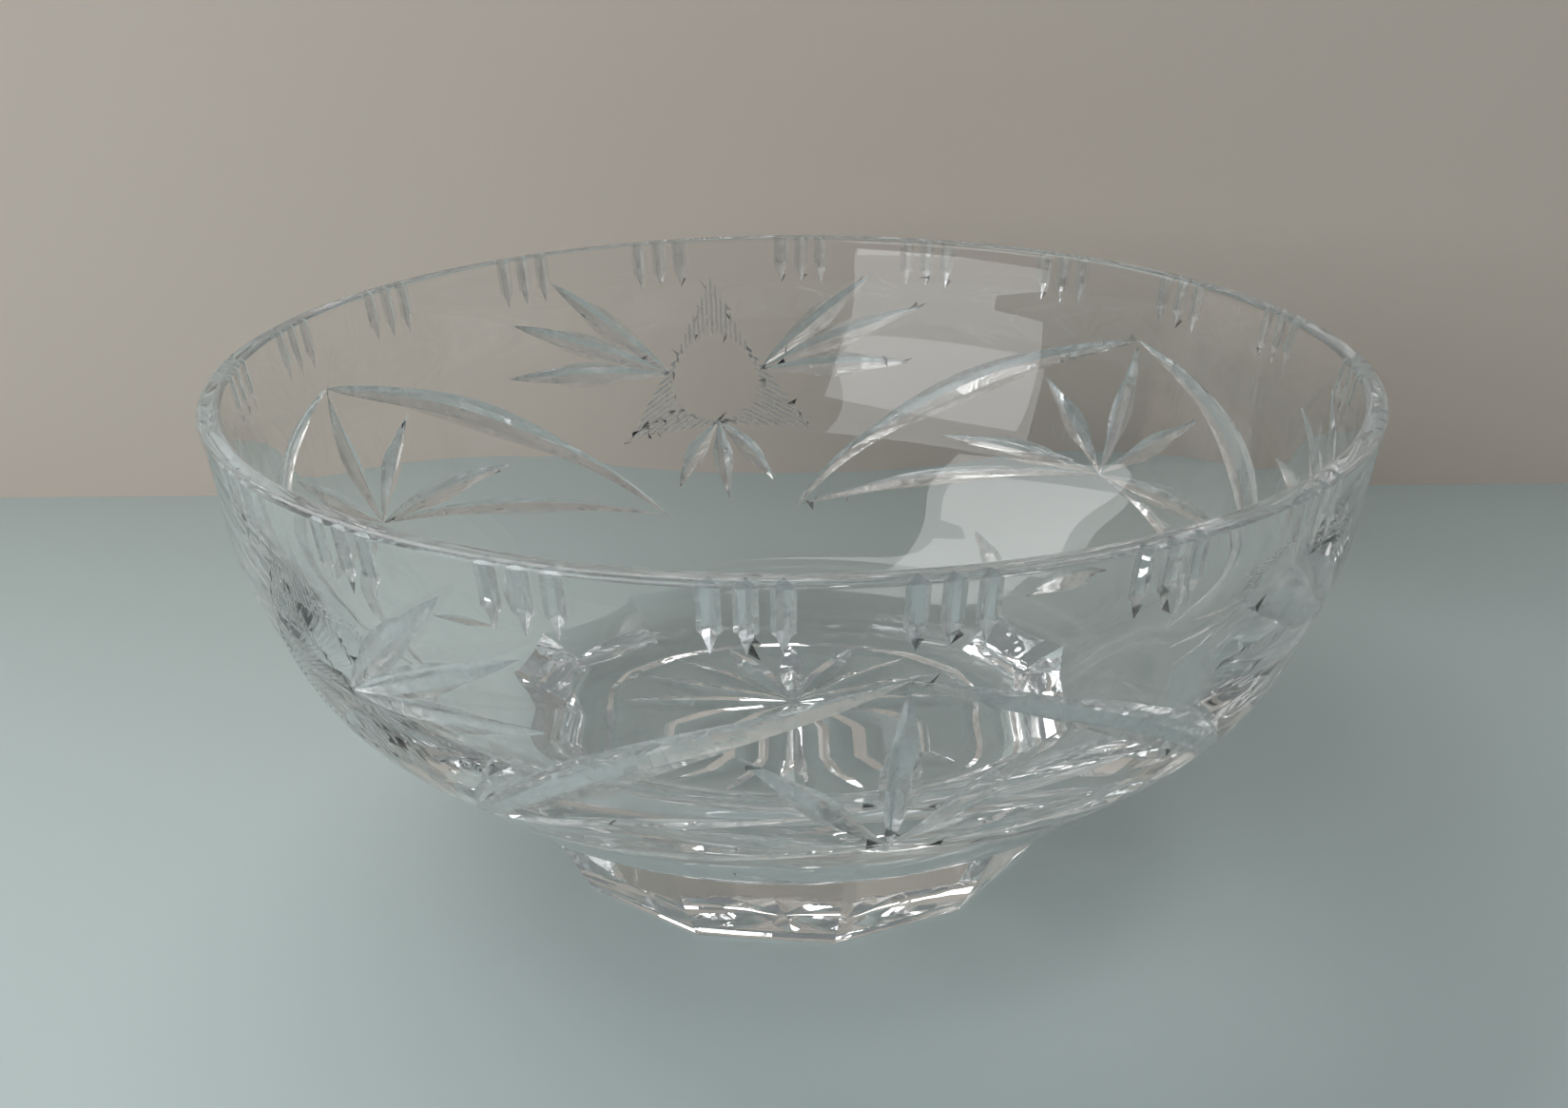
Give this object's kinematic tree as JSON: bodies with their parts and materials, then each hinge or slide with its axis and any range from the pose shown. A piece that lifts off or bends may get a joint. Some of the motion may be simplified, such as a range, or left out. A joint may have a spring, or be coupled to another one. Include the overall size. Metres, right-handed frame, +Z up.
{
  "type": "cut-crystal punch bowl",
  "caption": "Round clear cut-glass serving bowl with near-upright walls, arch, star and leaf cuts, a notched rim and a faceted foot.",
  "frame": {"origin": "centre of the foot's resting face, at table height", "axes": "+Z up along the bowl's axis, out of its mouth; the arches stand at 39.3, 161.3 and 278.1 degrees round from +X"},
  "size_m": [0.25, 0.25, 0.114],
  "materials": {
    "crystal": "clear colourless cut crystal, hand polished, with bright mitre cuts"
  },
  "bodies": {
    "root": {"bowl": "crystal", "foot": "crystal"}
  },
  "joints": []
}
